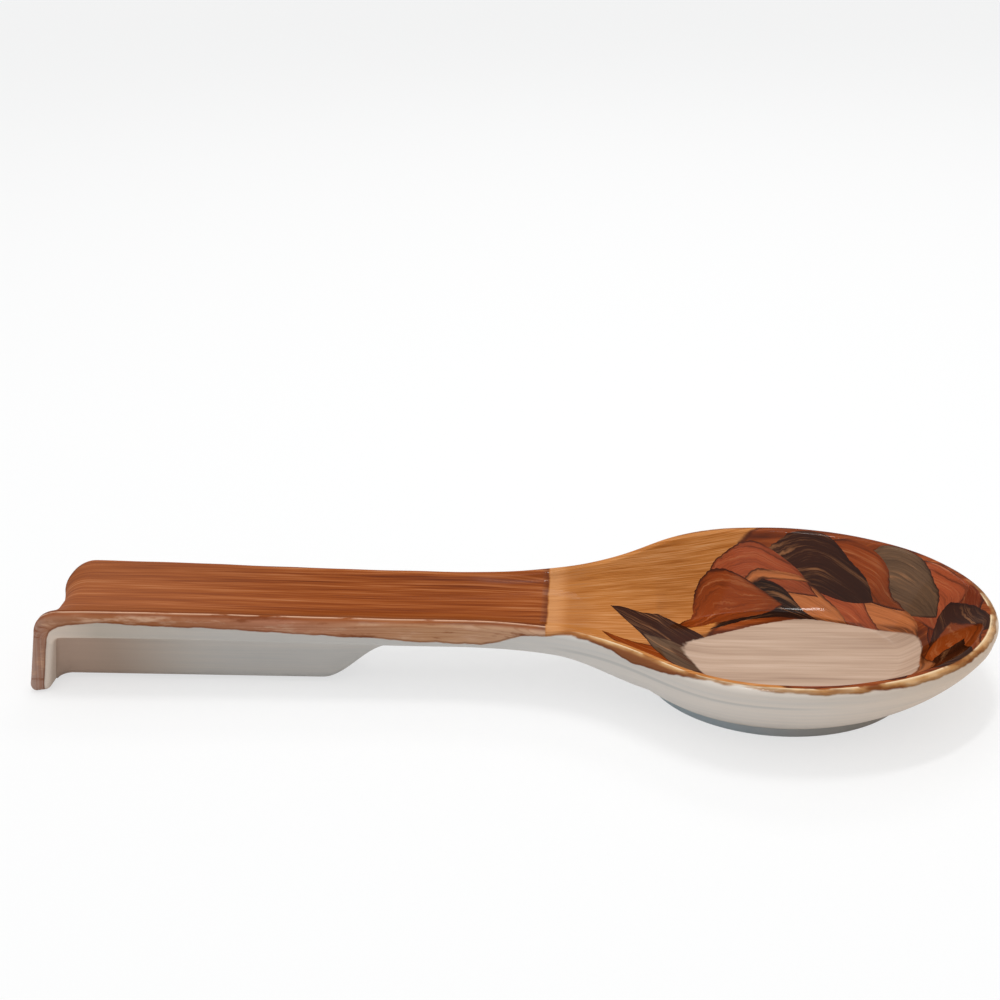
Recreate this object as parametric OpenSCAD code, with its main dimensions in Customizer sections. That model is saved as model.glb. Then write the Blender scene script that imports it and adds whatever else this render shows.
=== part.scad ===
/* [Overall] */
// Length from the outside of the end leg to the tip of the bowl
rest_l = 270; // [250:1:300]
// Height of the rim above the table
rest_h = 24; // [22:0.5:30]

/* [Bowl] */
// Half the width of the bowl, to the crest of its rim
bowl_half_w = 44.6; // [42:0.1:48]
// From the widest place of the bowl to the crest of the rim at its tip
bowl_tip_l = 56; // [50:0.5:60]
// Depth of the bowl below its rim
bowl_depth = 17; // [15:0.5:18]
// Half the width of the bowl's flat floor
floor_half_w = 23; // [18:0.5:26]
// Half the length of the bowl's flat floor
floor_half_l = 33; // [26:0.5:36]
// Height of the steep outer band under the rim, at the widest place
bowl_band_h = 4.5; // [4:0.1:6]
// Length over which the floor falls from the handle's trough to the bowl
floor_ramp_l = 51.5; // [48:0.5:54]
// How far past the back of the foot ring the bowl's underside still falls
belly_over_l = 18.5; // [14:0.5:20]

/* [Rim] */
// Radius of the rim's rounded outer edge
rim_r = 2; // [1.6:0.1:2.4]
// Width of the rim's nearly flat top
rim_land = 1.2; // [0.8:0.1:1.6]
// Radius of the rim's inner edge
rim_in_r = 1.5; // [1:0.1:1.8]
// How far the outer band leans in under the rim
band_batter = 0.6; // [0.2:0.1:1]

/* [Handle] */
// Thickness of the handle at its rim
plate_t = 8.1; // [7.5:0.1:8.8]
// Depth of the long trough in the handle
trough_depth = 3.4; // [2.8:0.1:3.8]
// Half the width of the handle at its waist, to the crest of its rim
waist_half_w = 13.8; // [13.2:0.1:15]
// Half the width of the handle at its end, to the crest of its rim
end_half_w = 15.4; // [14:0.1:17]
// Width of the sloping side of the trough
trough_cove = 10; // [8:0.1:10.2]
// Slope of the trough's sides just inside the rim, in degrees
trough_lean = 30; // [28:1:40]
// How much higher the handle stands at its end than at its waist
end_lift = 1.8; // [0:0.1:2.4]
// Height of the steep outer band under the handle's rim
handle_band_h = 6.5; // [6:0.1:6.8]
// From the widest place of the bowl back to the waist of the handle
waist_l = 92; // [84:1:100]
// From the widest place of the bowl back to the end of the neck
neck_l = 66.5; // [62:0.5:70]
// From the end of the neck back to where the trough's floor starts to fall
floor_lead_l = 2; // [0:0.5:4]
// From the end of the neck forwards to where its underside starts to fall
belly_in_l = 4; // [0:0.5:6]

/* [Leg] */
// Outer radius of the bend where the handle turns down
bend_r = 9.5; // [7:0.1:10.5]
// Radius of the hollow corner under the bend
bend_in_r = 4.2; // [3:0.1:5.2]
// Straight stretch before the bend that belongs to the leg
bend_lead_l = 1; // [0.5:0.1:3]
// How far the leg splays outwards, in degrees from upright
leg_splay = 10; // [2:1:13]
// Thickness of the leg below the bend
leg_t = 6.1; // [5.6:0.1:7.2]
// How much the leg widens on each side towards its end
leg_flare = 2.2; // [0:0.1:3]
// Height over which the leg's end is rounded
leg_toe_h = 2.8; // [2:0.1:3.4]
// How much the rounding draws in each side of the leg's end
leg_toe_in = 1.9; // [1:0.1:2.4]
// How much the handle's rounded end corners take off each side
end_corner_in = 2.4; // [1:0.1:3]
// Length of the stretch over which the end corners round in
end_corner_l = 9; // [6:0.5:12]

/* [Keel] */
// Clearance between the keel and the table
keel_lift = 1.2; // [0.8:0.1:3]
// Half the width of the keel's flat bottom
keel_half_w = 7; // [5:0.5:9]
// Radius along the lower edges of the keel
keel_edge_r = 2.4; // [1.5:0.1:3]
// Distance from the edge of the handle's underside in to the keel
keel_inset = 0.8; // [0.4:0.1:2]
// From the waist of the handle back to the front end of the keel
keel_nose_l = 13; // [10:1:20]
// Length of the keel's rising front end
keel_rise_l = 24; // [18:1:30]
// Radius of the fillet where the keel's sides run into the leg
keel_fillet_r = 2.6; // [1:0.1:3]

/* [Foot] */
// Height of the foot ring under the bowl
foot_h = 3; // [2.5:0.1:4]
// Half the length of the foot ring
foot_half_l = 37; // [34:0.5:39]
// Half the width of the foot ring
foot_half_w = 31.2; // [29:0.1:33]
// Width of the foot ring's standing edge
foot_ring_w = 4.5; // [3.5:0.1:6]
// Chamfer along the lower edges of the foot ring
foot_chamfer = 0.6; // [0.3:0.1:1]
// How far the bowl's underside stands out past the foot ring
foot_margin = 0.4; // [0.2:0.1:1]

/* [Hidden] */

// Lengthwise places, with the origin under the middle of the whole length
bowl_x = rest_l / 2 - rim_r - bowl_tip_l;
neck_x = bowl_x - neck_l;
waist_x = bowl_x - waist_l;
nose_x = waist_x - keel_nose_l;
// The keel has its full depth from the leg to here
keel_full_x = nose_x - keel_rise_l;
leg_turn = 90 - leg_splay;
foot_x = bowl_x - foot_half_l;
// The bowl and neck meet in a plane just behind the foot ring
seam_x = foot_x - foot_margin - foot_chamfer;
// The floor and the underside of the neck fall from the handle to the bowl over these stretches
floor_start_x = neck_x - floor_lead_l;
belly_start_x = neck_x + belly_in_l;
belly_ramp_l = seam_x + belly_over_l - belly_start_x;

// Heights
plate_z = rest_h - plate_t;
end_h = rest_h + end_lift;

// Widths measured in from the crest of the rim
rim_lean = 45;
plate_edge_r = plate_t - handle_band_h;
plate_flat_in = plate_edge_r + band_batter - rim_r;
trough_half_w = waist_half_w - rim_land - rim_in_r * sin(trough_lean) - trough_cove;
belly_half_w = waist_half_w - rim_r - plate_edge_r / 2;

// Where the curve of each quadratic stroke bends, from the rim's side to the middle
belly_bend_share = 0.36;
// How strongly the neck's plan curve holds its width at its two ends
waist_pull_share = 0.67;
bowl_pull_share = 0.47;
// Growth of the handle's width towards its end
taper_power = 1.6;
// Bend of the keel's coved side, towards its top corner
keel_cove_share = 0.3;
keel_ceiling_share = 0.06;
// How far the keel's nose has risen where it ends
keel_end_share = 0.985;
// How far the fillet at the leg lowers the keel, as a share of its width
keel_drop_share = 0.15;

// Steps along each stretch of a cross-section
floor_steps = 3;
wall_steps = 7;
lip_steps = 4;
land_steps = 2;
band_steps = 3;
belly_steps = 6;
// Steps along the length
handle_steps = 8;
waist_steps = 2;
flare_steps = 6;
neck_steps = 12;
bowl_steps = 9;
fan_steps = 40;
bend_steps = 8;
toe_steps = 6;
keel_nose_steps = 10;
keel_side_steps = 6;
keel_edge_steps = 4;
ring_steps = 96;

function mix(a, b, s) = a + (b - a) * s;
function clamp(s) = min(1, max(0, s));
function smooth(s) = let (c = clamp(s)) c * c * (3 - 2 * c);
function quadratic(a, b, c, s) = mix(mix(a, b, s), mix(b, c, s), s);
function cubic(a, b, c, d, s) = mix(quadratic(a, b, c, s), quadratic(b, c, d, s), s);
// Half the width of an ellipse at a distance x from its middle
function ellipse_w(x, half_l, half_w) = half_w * sqrt(max(0, 1 - pow(x / half_l, 2)));
// Distance from an ellipse's middle to its edge along a direction
function ellipse_reach(d, half_l, half_w) = 1 / sqrt(pow(d[0] / half_l, 2) + pow(d[1] / half_w, 2));

// Each layer of the handle runs level to the bend and on down the leg, which is a little thinner.
// This is where the two straight runs of the layer at a given depth would cross
function turn_x(depth) =
    let (
        leg_depth = depth * leg_t / plate_t,
        rise = (end_h - depth - leg_toe_h + leg_depth * cos(leg_turn)) / sin(leg_turn))
    leg_depth * sin(leg_turn) + rise * cos(leg_turn) - rest_l / 2;
// Radius of the bend at that depth
function turn_r(depth) = mix(bend_r, bend_in_r, depth / plate_t);
// Place of a layer on the bend, as length and height, after turning by an angle
function turned(depth, a) =
    let (r = turn_r(depth))
    [turn_x(depth) + r * (tan(leg_turn / 2) - sin(a)), end_h - depth - r * (1 - cos(a))];
// The leg piece begins in a plane a little before its first layer starts to turn
bend_x = max(turned(0, 0)[0], turned(plate_t, 0)[0]) + bend_lead_l;
// The handle's end corners round in over a stretch that ends at the outside of the bend
end_x = turned(0, leg_turn)[0];

// Plan of the rim's crest: a curve from the waist to the widest place
function neck_plan(s) = cubic(
    [waist_x, waist_half_w],
    [waist_x + waist_l * waist_pull_share, waist_half_w],
    [bowl_x - waist_l * bowl_pull_share, bowl_half_w],
    [bowl_x, bowl_half_w],
    s);
// The share of that curve at which it passes a given place along the length
function plan_share(x, lo = 0, hi = 1, tries = 30) =
    let (s = (lo + hi) / 2)
    tries == 0 ? s
    : neck_plan(s)[0] < x ? plan_share(x, s, hi, tries - 1)
    : plan_share(x, lo, s, tries - 1);
// How much the rounded end corners take off each side
function corner_in(x) = end_corner_in * pow(clamp((end_x + end_corner_l - x) / end_corner_l), 2);
function half_w(x) =
    x <= waist_x
    ? mix(waist_half_w, end_half_w, pow((waist_x - x) / (waist_x - end_x), taper_power)) - corner_in(x)
    : neck_plan(plan_share(x))[1];

// Heights of the hollow's floor and of the underside along the middle
function floor_z(x) =
    mix(rest_h - trough_depth, rest_h - bowl_depth, smooth((x - floor_start_x) / floor_ramp_l));
function belly(x) = smooth((x - belly_start_x) / belly_ramp_l);
function belly_z(x) = mix(plate_z, foot_h, belly(x));
// How far the whole handle has risen towards its end
function lift(x) = end_lift * smooth((waist_x - x) / (waist_x - bend_x));
// Slope of the hollow's sides just inside the rim
function lean(x) = mix(trough_lean, rim_lean, smooth((x - waist_x) / (neck_x - waist_x)));
function band_h(x) = mix(handle_band_h, bowl_band_h, smooth((x - neck_x) / neck_l));

// Half the width of the floor and of the flat underside, growing from the neck into the bowl
function widened(x, neck_w, full_w, half_l) =
    norm([neck_w, ellipse_w(x - bowl_x, half_l, sqrt(full_w * full_w - neck_w * neck_w))]);
function floor_w(x) =
    x <= waist_x
    ? half_w(x) - waist_half_w + trough_half_w
    : widened(x, trough_half_w, floor_half_w, floor_half_l);
function belly_w(x) =
    mix(
        half_w(x) - plate_flat_in,
        widened(x, belly_half_w, foot_half_w + foot_margin, foot_half_l),
        belly(x));

// Half a cross-section as points of reach and height, from the middle of the hollow,
// over the rim, to the middle of the underside
function half_section(w, lean, floor, flat, band, under, under_w, bend) =
    let (
        land_in = w - rim_land,
        lip_in = [land_in - rim_in_r * sin(lean), rest_h - rim_in_r * (1 - cos(lean))],
        wall_foot = [lip_in[0] - (lip_in[1] - floor) / tan(lean), floor],
        crease = [w + rim_r - band_batter, rest_h - band],
        underside = [under_w, under],
        corner = [mix(crease[0], under_w, bend), mix(under, crease[1], bend)])
    concat(
        [for (i = [0:floor_steps]) [flat * i / floor_steps, floor]],
        [for (i = [1:wall_steps]) quadratic([flat, floor], wall_foot, lip_in, i / wall_steps)],
        [for (i = [1:land_steps]) let (a = lean * (1 - i / land_steps))
            [land_in - rim_in_r * sin(a), rest_h - rim_in_r * (1 - cos(a))]],
        [for (i = [0:lip_steps]) let (a = 90 * (1 - i / lip_steps))
            [w + rim_r * cos(a), rest_h - rim_r * (1 - sin(a))]],
        [for (i = [1:band_steps]) mix([w + rim_r, rest_h - rim_r], crease, i / band_steps)],
        [for (i = [1:belly_steps]) quadratic(crease, corner, underside, i / belly_steps)],
        [[0, under]]);

function section_at(x) =
    let (half = half_section(
        half_w(x), lean(x), floor_z(x), floor_w(x), band_h(x),
        belly_z(x), belly_w(x), belly_bend_share * belly(x)))
    [for (p = half) [p[0], p[1] + lift(x)]];

// Plan of the rim's crest round the tip, from the bowl's widest place
function tip_plan(a) = [bowl_tip_l * cos(a), bowl_half_w * sin(a)];
// Half a cross-section of the bowl's tip, at an angle of that plan
function fan_section(a) =
    let (p = tip_plan(a), d = p / norm(p))
    half_section(
        norm(p), rim_lean, floor_z(bowl_x), ellipse_reach(d, floor_half_l, floor_half_w), bowl_band_h, foot_h,
        ellipse_reach(d, foot_half_l + foot_margin, foot_half_w + foot_margin),
        belly_bend_share);

// Both halves of a cross-section set across the length, without doubling the middle points
function mirrored(x, half) =
    let (last = len(half) - 1)
    concat(
        [for (i = [0:last]) [x, half[i][0], half[i][1]]],
        [for (i = [last - 1:-1:1]) [x, -half[i][0], half[i][1]]]);
function whole_section(x) = mirrored(x, section_at(x));

// Faces that join rings of n points, ring after ring
function side_faces(rings, n) = [
    for (r = [0:rings - 2], i = [0:n - 1], t = [0, 1]) let (
            j = (i + 1) % n,
            a = r * n,
            b = a + n)
        t == 0 ? [a + i, b + j, b + i] : [a + i, a + j, b + j]];

// Triangles that close a whole cross-section, joining the hollow's side to the outer side
function end_faces(base, n) =
    let (last = n / 2)
    [for (i = [0:floor(last / 2)], t = [0, 1], left = [0, 1]) let (
            f = t == 0 ? [i, last - i, i + 1] : [i + 1, last - i, last - i - 1])
        if (i + 1 + t <= last - i - 1)
            left == 0 ? [for (k = f) base + k] : [for (k = [f[2], f[1], f[0]]) base + (n - k) % n]];

function flipped(faces) = [for (f = faces) [f[2], f[1], f[0]]];

// A solid through a row of whole cross-sections
module loft(rings) {
    n = len(rings[0]);
    polyhedron(
        points = [for (ring = rings) for (p = ring) p],
        faces = concat(
            side_faces(len(rings), n),
            end_faces(0, n),
            flipped(end_faces((len(rings) - 1) * n, n))));
}

// The bowl: straight sections back to the neck, and a fan of half sections round the tip
module bowl() {
    straight = [for (i = [0:bowl_steps]) whole_section(mix(seam_x, bowl_x, i / bowl_steps))];
    n = len(straight[0]);
    last = n / 2;
    base = bowl_steps * n;
    inner = last - 1;
    fan_base = (bowl_steps + 1) * n;
    fan = [for (k = [1:fan_steps - 1]) let (
            a = 90 - 180 * k / fan_steps,
            d = tip_plan(a) / norm(tip_plan(a)),
            half = fan_section(a))
        for (i = [1:inner]) [bowl_x + half[i][0] * d[0], half[i][0] * d[1], half[i][1]]];
    // Index of point i on fan section k: the first and last sections are the bowl's widest ring
    function fan_point(k, i) =
        i == 0 ? base
        : i == last ? base + last
        : k == 0 ? base + i
        : k == fan_steps ? base + n - i
        : fan_base + (k - 1) * inner + i - 1;
    color("sandybrown")
        polyhedron(
            points = concat([for (ring = straight) for (p = ring) p], fan),
            faces = concat(
                side_faces(bowl_steps + 1, n),
                end_faces(0, n),
                [for (k = [0:fan_steps - 1], i = [0:inner])
                    if (i > 0) [fan_point(k, i), fan_point(k + 1, i + 1), fan_point(k + 1, i)]],
                [for (k = [0:fan_steps - 1], i = [0:inner])
                    if (i < inner) [fan_point(k, i), fan_point(k, i + 1), fan_point(k + 1, i + 1)]]));
}

// The neck between the handle and the bowl
module neck() {
    color("peru")
        loft([for (i = [0:neck_steps]) whole_section(mix(neck_x, seam_x, i / neck_steps))]);
}

// The straight part of the handle, with its long shallow trough
module handle_tray() {
    color("sienna")
        loft(concat(
            [for (i = [0:handle_steps]) whole_section(mix(bend_x, keel_full_x, i / handle_steps))],
            [for (i = [1:keel_nose_steps]) whole_section(mix(keel_full_x, nose_x, i / keel_nose_steps))],
            [for (i = [1:waist_steps]) whole_section(mix(nose_x, waist_x, i / waist_steps))],
            [for (i = [1:flare_steps]) whole_section(mix(waist_x, neck_x, i / flare_steps))]));
}

// A point of the handle's end section carried round the bend by an angle
function bent(p, a) =
    let (q = turned(end_h - p[2], a))
    [q[0], p[1], q[1]];
// The same point carried on down the leg to a height above the table
function lowered(p, z) =
    let (q = bent(p, leg_turn))
    [q[0] - (q[2] - z) / tan(leg_turn), q[1] * (1 + leg_flare / end_half_w), z];
// A point drawn in towards the middle of the leg's thickness and width
function drawn_in(p, in) =
    let (mid = end_h - plate_t / 2)
    [p[0], p[1] * (1 - in / end_half_w), mid + (p[2] - mid) * (1 - in * 2 / leg_t)];

// The leg: the handle turns down at its end and stands on a rounded toe
module end_leg() {
    leg = whole_section(end_x);
    color("saddlebrown")
        loft(concat(
            [for (i = [toe_steps:-1:0]) let (a = 90 * i / toe_steps)
                [for (p = leg) lowered(drawn_in(p, leg_toe_in * (1 - cos(a))), leg_toe_h * (1 - sin(a)))]],
            [for (i = [bend_steps:-1:0]) let (a = leg_turn * i / bend_steps)
                [for (p = whole_section(turned(0, a)[0])) bent(p, a)]],
            [whole_section(bend_x)]));
}

// A ring of the keel at a place along the length: its flat top under the handle, coved sides
// and a rounded lower edge; slant leans the ring out towards the leg, out widens it as a fillet
function keel_ring(x, top, top_w, fade, slant = 0, out = 0) =
    let (
        bottom = mix(keel_lift, top, fade) - out * keel_drop_share,
        edge_r = keel_edge_r * (1 - fade),
        low_w = mix(keel_half_w, top_w - edge_r * 2, fade * fade) + out,
        side = [low_w + edge_r, bottom + edge_r],
        cove = [mix(side[0], top_w, keel_cove_share), mix(top, side[1], keel_ceiling_share)],
        half = concat(
            [for (i = [0:keel_side_steps]) quadratic([top_w, top], cove, side, i / keel_side_steps)],
            [for (i = [1:keel_edge_steps]) let (a = 90 * i / keel_edge_steps)
                [low_w + edge_r * cos(a), bottom + edge_r * (1 - sin(a))]]),
        last = len(half) - 1)
    [for (i = [0:last * 2 + 1]) let (p = i <= last ? half[i] : half[last * 2 + 1 - i])
        [x - (top - p[1]) * slant, i <= last ? p[0] : -p[0], p[1]]];
function keel_top_w(x) = half_w(x) - plate_flat_in - keel_inset;
// How far the fillet stands out at a distance from the leg
function fillet_out(d) = keel_fillet_r * (1 - sqrt(1 - pow(1 - clamp(d / keel_fillet_r), 2)));

// The keel: a solid ridge under the handle, from the leg to a nose that rises to the handle
module handle_keel() {
    leg_face = turned(plate_t, leg_turn);
    rings = concat(
        [for (i = [bend_steps:-1:1]) let (p = turned(plate_t, leg_turn * i / bend_steps))
            keel_ring(
                p[0], p[1], keel_top_w(end_x), 0,
                i / bend_steps / tan(leg_turn), fillet_out(p[0] - leg_face[0]))],
        [for (i = [0:handle_steps]) let (
                x = mix(bend_x, keel_full_x, i / handle_steps),
                top_w = mix(keel_top_w(end_x), keel_top_w(x), smooth(i / handle_steps)))
            keel_ring(x, plate_z + lift(x), top_w, 0)],
        [for (i = [1:keel_nose_steps]) let (
                s = i / keel_nose_steps,
                x = mix(keel_full_x, nose_x, s))
            keel_ring(x, plate_z + lift(x), keel_top_w(x), keel_end_share * smooth(s))]);
    n = len(rings[0]);
    color("gainsboro")
        polyhedron(
            points = [for (ring = rings) for (p = ring) p],
            faces = concat(
                side_faces(len(rings), n),
                [[for (i = [n - 1:-1:0]) i]],
                [[for (i = [0:n - 1]) (len(rings) - 1) * n + i]]));
}

// An oval outline with a half length and a half width
module oval(half_l, half_w) {
    polygon([for (i = [0:ring_steps - 1]) let (a = 360 * i / ring_steps)
        [half_l * cos(a), half_w * sin(a)]]);
}

// The ring between two heights, drawn in on both sides by a chamfer
module ring_layer(z, h, inset) {
    translate([bowl_x, 0, z])
        linear_extrude(height = h)
            difference() {
                oval(foot_half_l - inset, foot_half_w - inset);
                oval(foot_half_l - foot_ring_w + inset, foot_half_w - foot_ring_w + inset);
            }
}

// The foot ring that the bowl stands on, which reaches up to the bowl's underside
module foot_ring() {
    color("lightsteelblue")
        union() {
            intersection() {
                ring_layer(foot_chamfer, plate_z, 0);
                rotate([90, 0, 0])
                    linear_extrude(height = bowl_half_w * 2, center = true)
                        polygon(concat(
                            [[seam_x, 0]],
                            [for (i = [0:bowl_steps]) let (x = mix(seam_x, bowl_x, i / bowl_steps))
                                [x, belly_z(x)]],
                            [[rest_l / 2, foot_h], [rest_l / 2, 0]]));
            }
            ring_layer(0, foot_chamfer, foot_chamfer);
        }
}

bowl();
neck();
handle_tray();
end_leg();
handle_keel();
foot_ring();
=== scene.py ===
import math

import bpy
import numpy as np
from mathutils import Matrix, Vector


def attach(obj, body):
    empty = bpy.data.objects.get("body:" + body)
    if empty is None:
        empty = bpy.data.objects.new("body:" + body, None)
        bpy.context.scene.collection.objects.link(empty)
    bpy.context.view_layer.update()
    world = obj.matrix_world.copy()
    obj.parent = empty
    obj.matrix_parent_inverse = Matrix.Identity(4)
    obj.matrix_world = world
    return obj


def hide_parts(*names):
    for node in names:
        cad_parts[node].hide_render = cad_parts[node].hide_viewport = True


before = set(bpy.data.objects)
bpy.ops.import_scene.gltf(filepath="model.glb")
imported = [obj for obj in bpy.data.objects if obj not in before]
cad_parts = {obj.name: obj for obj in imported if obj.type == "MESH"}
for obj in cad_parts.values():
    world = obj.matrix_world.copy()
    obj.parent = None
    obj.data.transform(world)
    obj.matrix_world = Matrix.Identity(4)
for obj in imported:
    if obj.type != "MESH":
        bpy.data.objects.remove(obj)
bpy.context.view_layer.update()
scene = bpy.context.scene

# Camera: a near view from the front, a little to the right, from 25 degrees above the table.
# The object sits below the middle of the frame, so the camera aims at a point behind it.
azimuth, elevation, roll = math.radians(4.751), math.radians(25.345), math.radians(-1.615)
aim, aim_distance, lens = Vector((-0.00761, 0.087313, 0.0125)), 0.459951, 48.05
back = Vector((math.sin(azimuth) * math.cos(elevation), -math.cos(azimuth) * math.cos(elevation),
               math.sin(elevation)))
right = Vector((0, 0, 1)).cross(back).normalized()
up = back.cross(right)
right, up = (right * math.cos(roll) + up * math.sin(roll), up * math.cos(roll) - right * math.sin(roll))
camera = bpy.data.objects.new("camera", bpy.data.cameras.new("camera"))
scene.collection.objects.link(camera)
camera.data.sensor_width = 36.0
camera.data.lens = lens
camera.data.clip_start = 0.01
camera.matrix_world = Matrix((right, up, back)).transposed().to_4x4()
camera.location = aim + back * aim_distance
scene.camera = camera

# The body: one piece of white clay from the leg's toe over the handle and neck to the bowl's tip,
# pressed in a mould and smoothed by hand before firing. Its skin follows the solids' cross-sections,
# in mm, with finer steps, and is cut into the leg, the handle, the neck and the bowl.
rest_l, rest_h = 270.0, 24.0
bowl_half_w, bowl_tip_l, bowl_depth = 44.6, 56.0, 17.0
floor_half_w, floor_half_l = 23.0, 33.0
bowl_band_h, handle_band_h = 4.5, 6.5
floor_ramp_l, belly_over_l, floor_lead_l, belly_in_l = 51.5, 18.5, 2.0, 4.0
rim_r, rim_land, rim_in_r, band_batter = 2.0, 1.2, 1.5, 0.6
plate_t, trough_depth, trough_cove, trough_lean, end_lift = 8.1, 3.4, 10.0, math.radians(30), 1.8
waist_half_w, end_half_w, waist_l, neck_l = 13.8, 15.4, 92.0, 66.5
bend_r, bend_in_r, bend_lead_l, leg_turn, leg_t = 9.5, 4.2, 1.0, math.radians(80), 6.1
leg_flare, leg_toe_h, leg_toe_in = 2.2, 2.8, 1.9
end_corner_in, end_corner_l = 2.4, 9.0
foot_h, foot_half_l, foot_half_w, foot_margin, foot_chamfer = 3.0, 37.0, 31.2, 0.4, 0.6
waist_pull_share, bowl_pull_share, belly_bend_share = 0.67, 0.47, 0.36
handle_taper_power = 1.6

bowl_x = rest_l / 2 - rim_r - bowl_tip_l
neck_x = bowl_x - neck_l
waist_x = bowl_x - waist_l
seam_x = bowl_x - foot_half_l - foot_margin - foot_chamfer
floor_start_x = neck_x - floor_lead_l
belly_start_x = neck_x + belly_in_l
belly_ramp_l = seam_x + belly_over_l - belly_start_x
plate_z = rest_h - plate_t
bowl_floor_z = rest_h - bowl_depth
end_h = rest_h + end_lift
rim_lean = math.radians(45)
trough_half_w = waist_half_w - rim_land - rim_in_r * math.sin(trough_lean) - trough_cove
plate_edge_r = plate_t - handle_band_h
plate_flat_in = plate_edge_r + band_batter - rim_r
belly_half_w = waist_half_w - rim_r - plate_edge_r / 2

# Points along each stretch of half a section, from the middle of the hollow to that of the underside.
floor_n, wall_n, lip_n, rim_n, band_n, belly_n, under_n = 9, 27, 5, 13, 9, 25, 7


def mix(a, b, s):
    return a + (b - a) * s


def smooth(s):
    s = np.clip(s, 0, 1)
    return s * s * (3 - 2 * s)


def quadratic(a, b, c, s):
    s = np.asarray(s)[:, None]
    return mix(mix(np.array(a), np.array(b), s), mix(np.array(b), np.array(c), s), s)


def cubic(a, b, c, d, s):
    return (1 - s) ** 3 * a + 3 * (1 - s) ** 2 * s * b + 3 * (1 - s) * s ** 2 * c + s ** 3 * d


def turned(depth, angle):
    """Where the bend into the leg puts a layer of the handle that lies this deep, at this angle."""
    leg_layer = depth * leg_t / plate_t
    rise = (end_h - depth - leg_toe_h + leg_layer * math.cos(leg_turn)) / math.sin(leg_turn)
    corner = leg_layer * math.sin(leg_turn) + rise * math.cos(leg_turn) - rest_l / 2
    r = mix(bend_r, bend_in_r, depth / plate_t)
    return corner + r * (math.tan(leg_turn / 2) - math.sin(angle)), end_h - depth - r * (1 - math.cos(angle))


bend_x = max(turned(0, 0)[0], turned(plate_t, 0)[0]) + bend_lead_l
end_x = turned(0, leg_turn)[0]
plan_s = np.linspace(0, 1, 2001)
plan_x = cubic(
    waist_x, waist_x + waist_l * waist_pull_share, bowl_x - waist_l * bowl_pull_share, bowl_x, plan_s)
plan_w = cubic(waist_half_w, waist_half_w, bowl_half_w, bowl_half_w, plan_s)


def half_w(x):
    if x > waist_x:
        return float(np.interp(x, plan_x, plan_w))
    corner = end_corner_in * float(np.clip((end_x + end_corner_l - x) / end_corner_l, 0, 1)) ** 2
    return mix(waist_half_w, end_half_w, ((waist_x - x) / (waist_x - end_x)) ** handle_taper_power) - corner


def ellipse_w(x, half_l, half):
    return half * math.sqrt(max(0, 1 - (x / half_l) ** 2))


def ellipse_reach(d, half_l, half):
    return 1 / math.hypot(d[0] / half_l, d[1] / half)


def widened(x, neck_w, full_w, half_l):
    return math.hypot(neck_w, ellipse_w(x - bowl_x, half_l, math.sqrt(full_w ** 2 - neck_w ** 2)))


def belly(x):
    return float(smooth((x - belly_start_x) / belly_ramp_l))


def lift(x):
    return end_lift * float(smooth((waist_x - x) / (waist_x - bend_x)))


def belly_z(x):
    return mix(plate_z, foot_h, belly(x))


def half_section(w, lean, floor, flat, band, under, under_w, bend):
    """Points from the middle of the hollow over the rim to the middle of the underside, and how deep
    each lies under the rim on the outside; inside, its distance from the rim's crest, negative."""
    inner = w - rim_land
    lip = (inner - rim_in_r * math.sin(lean), rest_h - rim_in_r * (1 - math.cos(lean)))
    foot = (lip[0] - (lip[1] - floor) / math.tan(lean), floor)
    crease = (w + rim_r - band_batter, rest_h - band)
    corner = (mix(crease[0], under_w, bend), mix(under, crease[1], bend))
    a = lean * (1 - np.linspace(0, 1, lip_n)[1:])
    b = np.pi / 2 * (1 - np.linspace(0, 1, rim_n))
    points = np.concatenate([
        np.stack([flat * np.linspace(0, 1, floor_n), np.full(floor_n, floor)], 1),
        quadratic((flat, floor), foot, lip, np.linspace(0, 1, wall_n)[1:]),
        np.stack([inner - rim_in_r * np.sin(a), rest_h - rim_in_r * (1 - np.cos(a))], 1),
        np.stack([w + rim_r * np.cos(b), rest_h - rim_r * (1 - np.sin(b))], 1),
        mix(np.array([w + rim_r, rest_h - rim_r]), np.array(crease), np.linspace(0, 1, band_n)[1:, None]),
        quadratic(crease, corner, (under_w, under), np.linspace(0, 1, belly_n)[1:]),
        np.stack([under_w * np.linspace(1, 0, under_n)[1:], np.full(under_n - 1, under)], 1)])
    crest = floor_n + wall_n + lip_n - 2
    steps = np.linalg.norm(np.diff(points, axis=0), axis=1)
    depth = rest_h - points[:, 1]
    depth[:crest + 1] = -np.concatenate([np.cumsum(steps[:crest][::-1])[::-1], [0]])
    return points, depth


def section_at(x):
    flat = half_w(x) - waist_half_w + trough_half_w
    if x > waist_x:
        flat = widened(x, trough_half_w, floor_half_w, floor_half_l)
    under_w = widened(x, belly_half_w, foot_half_w + foot_margin, foot_half_l)
    half, depth = half_section(
        half_w(x), mix(trough_lean, rim_lean, float(smooth((x - waist_x) / (neck_x - waist_x)))),
        mix(rest_h - trough_depth, bowl_floor_z, float(smooth((x - floor_start_x) / floor_ramp_l))),
        flat, mix(handle_band_h, bowl_band_h, float(smooth((x - neck_x) / neck_l))), belly_z(x),
        mix(half_w(x) - plate_flat_in, under_w, belly(x)), belly_bend_share * belly(x))
    return half + [0, lift(x)], depth


def whole_section(x):
    half, depth = section_at(x)
    ring = np.concatenate([half, (half * [-1, 1])[-2:0:-1]])
    return np.column_stack([np.full(len(ring), x), ring]), np.concatenate([depth, depth[-2:0:-1]])


def bent(ring, angle):
    return np.array([(q[0], p[1], q[1]) for p in ring for q in [turned(end_h - p[2], angle)]])


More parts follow.
